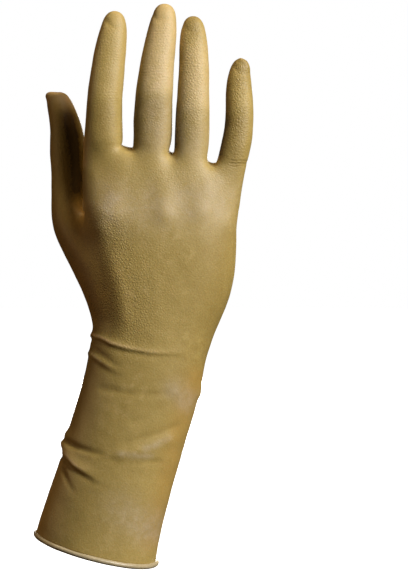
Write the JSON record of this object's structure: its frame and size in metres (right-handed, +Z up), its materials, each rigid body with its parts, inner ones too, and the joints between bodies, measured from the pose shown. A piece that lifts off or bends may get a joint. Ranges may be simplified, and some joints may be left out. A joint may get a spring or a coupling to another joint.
{
  "type": "long latex work glove",
  "caption": "Long-cuffed latex work glove for the right hand, in its worn shape: a hollow dipped film with fingers and thumb, ended by a rolled bead at the cuff.",
  "frame": {"origin": "the centre of the cuff's mouth, where the forearm goes in", "axes": "+Z up towards the fingertips, the back of the hand faces -Y, the palm +Y, the thumb is on the -X side"},
  "size_m": [0.1216, 0.0615, 0.3107],
  "materials": {
    "latex_film": "satin-matte tan latex with a fine grain and cloudy paler patches",
    "rolled_bead": "smooth paler latex roll with a soft gloss"
  },
  "bodies": {
    "root": {"cuff": "latex_film", "palm_and_back": "latex_film", "index_finger": "latex_film", "middle_finger": "latex_film", "ring_finger": "latex_film", "little_finger": "latex_film", "thumb": "latex_film", "cuff_bead": "rolled_bead"}
  },
  "joints": []
}
